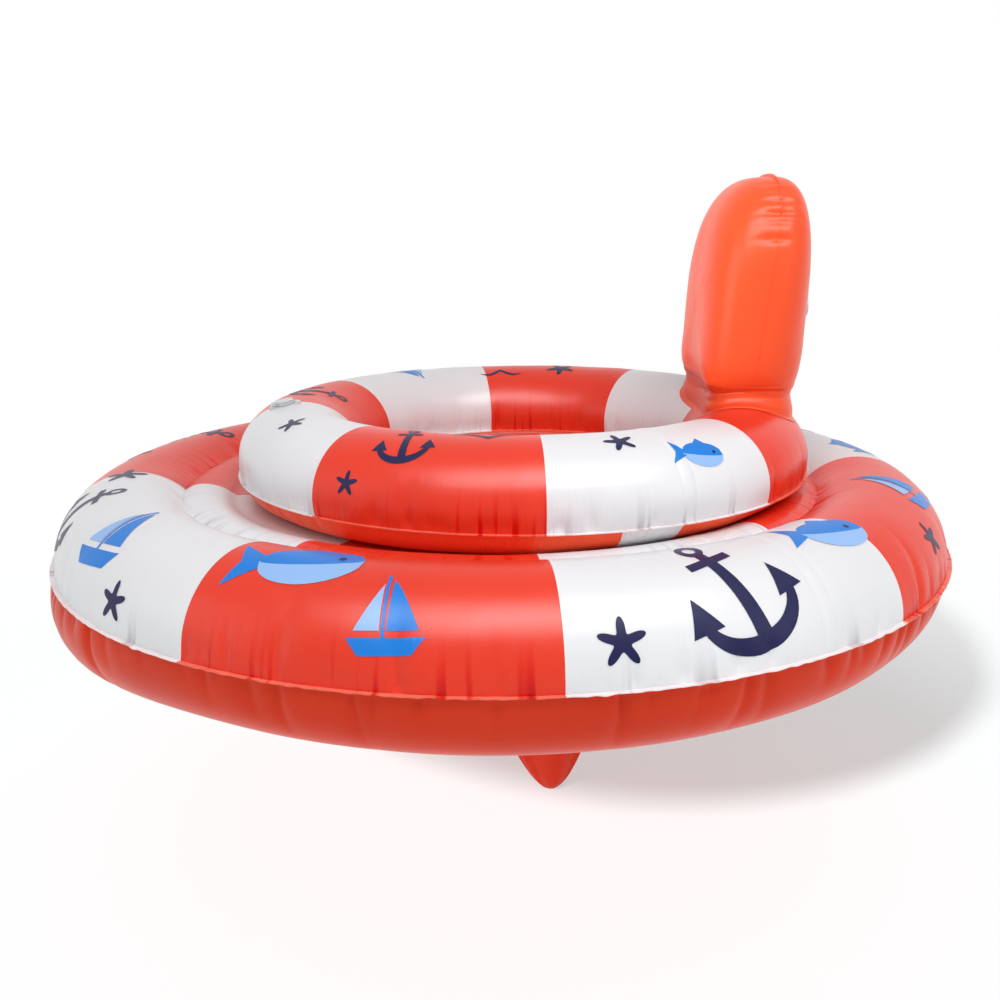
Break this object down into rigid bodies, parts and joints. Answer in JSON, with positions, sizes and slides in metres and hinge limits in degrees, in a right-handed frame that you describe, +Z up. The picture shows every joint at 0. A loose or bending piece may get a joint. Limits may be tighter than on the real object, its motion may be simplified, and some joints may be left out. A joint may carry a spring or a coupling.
{
  "type": "inflatable baby swim seat",
  "caption": "Inflatable baby swim seat: striped double-tube float, raised ring tube, upright backrest, hanging seat with two leg holes and push-in valves.",
  "frame": {"origin": "centre of the float's outer weld, which is its waterline", "axes": "+Z up, +X from the lap to the backrest, the baby faces -X"},
  "size_m": [0.628, 0.628, 0.4655],
  "materials": {
    "printed_film": "glossy welded PVC film, printed in red and white stripes",
    "orange_film": "glossy orange PVC film",
    "seat_film": "soft satin orange-red PVC film",
    "clear_vinyl": "translucent soft moulded vinyl"
  },
  "bodies": {
    "root": {"base_top_film": "printed_film", "base_bottom_film": "orange_film", "ring_weld_band": "clear_vinyl", "upper_ring_top_film": "printed_film", "upper_ring_bottom_film": "orange_film", "backrest_weld_strip": "orange_film", "seat_hem": "seat_film", "seat_pouch": "seat_film", "leg_rim_left": "seat_film", "leg_rim_right": "seat_film", "outer_valve_flange": "clear_vinyl", "inner_valve_flange": "clear_vinyl", "ring_valve_flange": "clear_vinyl"},
    "backrest": {"backrest_front_film": "orange_film", "backrest_rear_film": "orange_film", "back_valve_flange": "clear_vinyl"},
    "outer_stem": {"outer_valve_stem": "clear_vinyl"},
    "outer_plug": {"outer_valve_plug": "clear_vinyl"},
    "outer_flap": {"outer_valve_flap": "clear_vinyl"},
    "inner_stem": {"inner_valve_stem": "clear_vinyl"},
    "inner_plug": {"inner_valve_plug": "clear_vinyl"},
    "inner_flap": {"inner_valve_flap": "clear_vinyl"},
    "ring_stem": {"ring_valve_stem": "clear_vinyl"},
    "ring_plug": {"ring_valve_plug": "clear_vinyl"},
    "ring_flap": {"ring_valve_flap": "clear_vinyl"},
    "back_stem": {"back_valve_stem": "clear_vinyl"},
    "back_plug": {"back_valve_plug": "clear_vinyl"},
    "back_flap": {"back_valve_flap": "clear_vinyl"}
  },
  "joints": [
    {"name": "backrest_tilt", "type": "hinge", "parent": "root", "child": "backrest", "pos_m": [0.173, 0, 0.0974], "axis": [0, 1, 0], "range_deg": [-5, 4], "stiffness_Nm_per_rad": 0.6},
    {"name": "outer_stem_pull", "type": "slide", "parent": "root", "child": "outer_stem", "axis": [0, 0, 1], "range_m": [0, 0.007]},
    {"name": "outer_plug_open", "type": "hinge", "parent": "outer_stem", "child": "outer_plug", "pos_m": [0, 0.2685, 0.05295], "axis": [-1, 0, 0], "range_deg": [0, 150]},
    {"name": "outer_flap_open", "type": "hinge", "parent": "outer_stem", "child": "outer_flap", "pos_m": [0, 0.2653, 0.035], "axis": [1, 0, 0], "range_deg": [0, 75], "stiffness_Nm_per_rad": 0.00005, "springref_deg": -11.46},
    {"name": "inner_stem_pull", "type": "slide", "parent": "root", "child": "inner_stem", "axis": [0, -0.1928, -0.9812], "range_m": [0, 0.007]},
    {"name": "inner_plug_open", "type": "hinge", "parent": "inner_stem", "child": "inner_plug", "pos_m": [0, 0.16722, -0.04213], "axis": [-1, 0, 0], "range_deg": [0, 150]},
    {"name": "inner_flap_open", "type": "hinge", "parent": "inner_stem", "child": "inner_flap", "pos_m": [0, 0.17382, -0.02514], "axis": [1, 0, 0], "range_deg": [0, 75], "stiffness_Nm_per_rad": 0.00005, "springref_deg": -11.46},
    {"name": "ring_stem_pull", "type": "slide", "parent": "root", "child": "ring_stem", "axis": [-0.1812, -0.0352, 0.9828], "range_m": [0, 0.007]},
    {"name": "ring_plug_open", "type": "hinge", "parent": "ring_stem", "child": "ring_plug", "pos_m": [-0.15759, -0.03374, 0.0969], "axis": [0.1908, -0.9816, 0], "range_deg": [0, 150]},
    {"name": "ring_flap_open", "type": "hinge", "parent": "ring_stem", "child": "ring_flap", "pos_m": [-0.15125, -0.03251, 0.07985], "axis": [-0.1908, 0.9816, 0], "range_deg": [0, 75], "stiffness_Nm_per_rad": 0.00005, "springref_deg": -11.46},
    {"name": "back_stem_pull", "type": "slide", "parent": "backrest", "child": "back_stem", "axis": [0.9997, 0, -0.0262], "range_m": [0, 0.007]},
    {"name": "back_plug_open", "type": "hinge", "parent": "back_stem", "child": "back_plug", "pos_m": [0.2173, 0, 0.14883], "axis": [0, 1, 0], "range_deg": [0, 150]},
    {"name": "back_flap_open", "type": "hinge", "parent": "back_stem", "child": "back_flap", "pos_m": [0.19944, 0, 0.15249], "axis": [0, -1, 0], "range_deg": [0, 75], "stiffness_Nm_per_rad": 0.00005, "springref_deg": -11.46}
  ]
}
